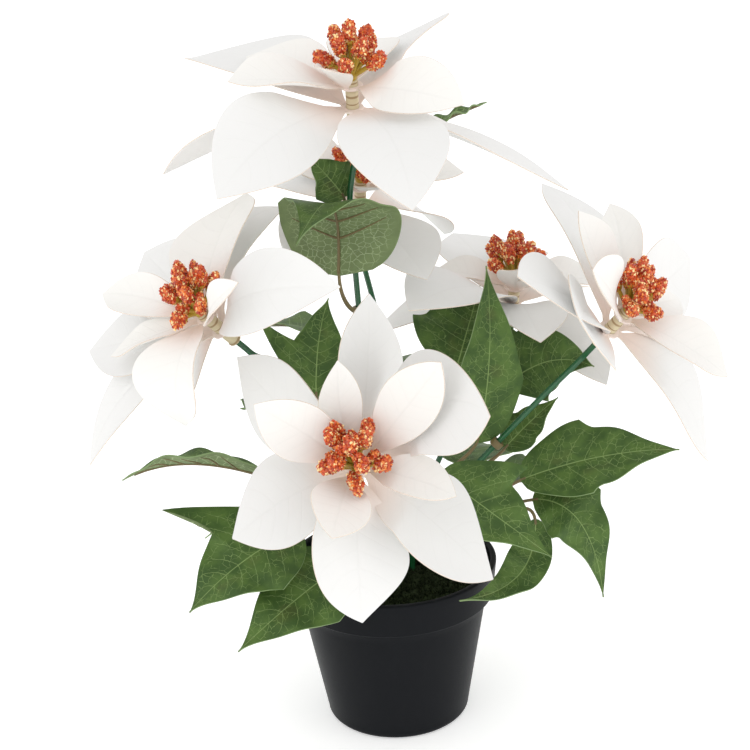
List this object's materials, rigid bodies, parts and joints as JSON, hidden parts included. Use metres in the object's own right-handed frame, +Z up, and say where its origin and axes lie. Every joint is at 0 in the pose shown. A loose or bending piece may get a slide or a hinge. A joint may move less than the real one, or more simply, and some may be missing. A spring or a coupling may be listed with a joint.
{
  "type": "artificial white poinsettia in a pot",
  "caption": "Artificial white poinsettia bush with cream-white fabric bracts, orange glitter flower heads and green leaves, in a round black plastic pot.",
  "frame": {"origin": "centre of the pot's flat underside", "axes": "+Z up out of the pot; the front bloom looks along -Y; +X to the viewer's right"},
  "size_m": [0.3561, 0.3043, 0.4007],
  "materials": {
    "pot_plastic": "matte charcoal-black moulded plastic",
    "moss": "rough dark green moss over a dry plug",
    "stem_plastic": "satin dark green plastic over wire",
    "neck_plastic": "matte cream plastic",
    "bract_fabric": "stiffened warm white fabric, faintly veined",
    "glitter": "coarse orange-red and gold glitter on olive stalks",
    "leaf_fabric": "stiffened deep green printed fabric with pale veins"
  },
  "bodies": {
    "root": {"pot": "pot_plastic", "moss_plug": "moss", "front_stem": "stem_plastic", "front_outer_bracts": "bract_fabric", "front_inner_bracts": "bract_fabric", "front_neck": "neck_plastic", "front_cyathia": "glitter", "left_stem": "stem_plastic", "left_outer_bracts": "bract_fabric", "left_inner_bracts": "bract_fabric", "left_neck": "neck_plastic", "left_cyathia": "glitter", "top_stem": "stem_plastic", "top_outer_bracts": "bract_fabric", "top_inner_bracts": "bract_fabric", "top_neck": "neck_plastic", "top_cyathia": "glitter", "back_stem": "stem_plastic", "back_outer_bracts": "bract_fabric", "back_inner_bracts": "bract_fabric", "back_neck": "neck_plastic", "back_cyathia": "glitter", "middle_stem": "stem_plastic", "middle_outer_bracts": "bract_fabric", "middle_inner_bracts": "bract_fabric", "middle_neck": "neck_plastic", "middle_cyathia": "glitter", "right_stem": "stem_plastic", "right_outer_bracts": "bract_fabric", "right_inner_bracts": "bract_fabric", "right_neck": "neck_plastic", "right_cyathia": "glitter", "leaf_01": "leaf_fabric", "leaf_02": "leaf_fabric", "leaf_03": "leaf_fabric", "leaf_04": "leaf_fabric", "leaf_05": "leaf_fabric", "leaf_06": "leaf_fabric", "leaf_07": "leaf_fabric", "leaf_08": "leaf_fabric", "leaf_09": "leaf_fabric", "leaf_10": "leaf_fabric", "leaf_11": "leaf_fabric", "leaf_12": "leaf_fabric", "leaf_13": "leaf_fabric", "leaf_14": "leaf_fabric", "leaf_15": "leaf_fabric", "leaf_16": "leaf_fabric", "leaf_17": "leaf_fabric", "leaf_18": "leaf_fabric", "leaf_19": "leaf_fabric", "leaf_20": "leaf_fabric", "leaf_21": "leaf_fabric", "leaf_22": "leaf_fabric", "leaf_23": "leaf_fabric"}
  },
  "joints": []
}
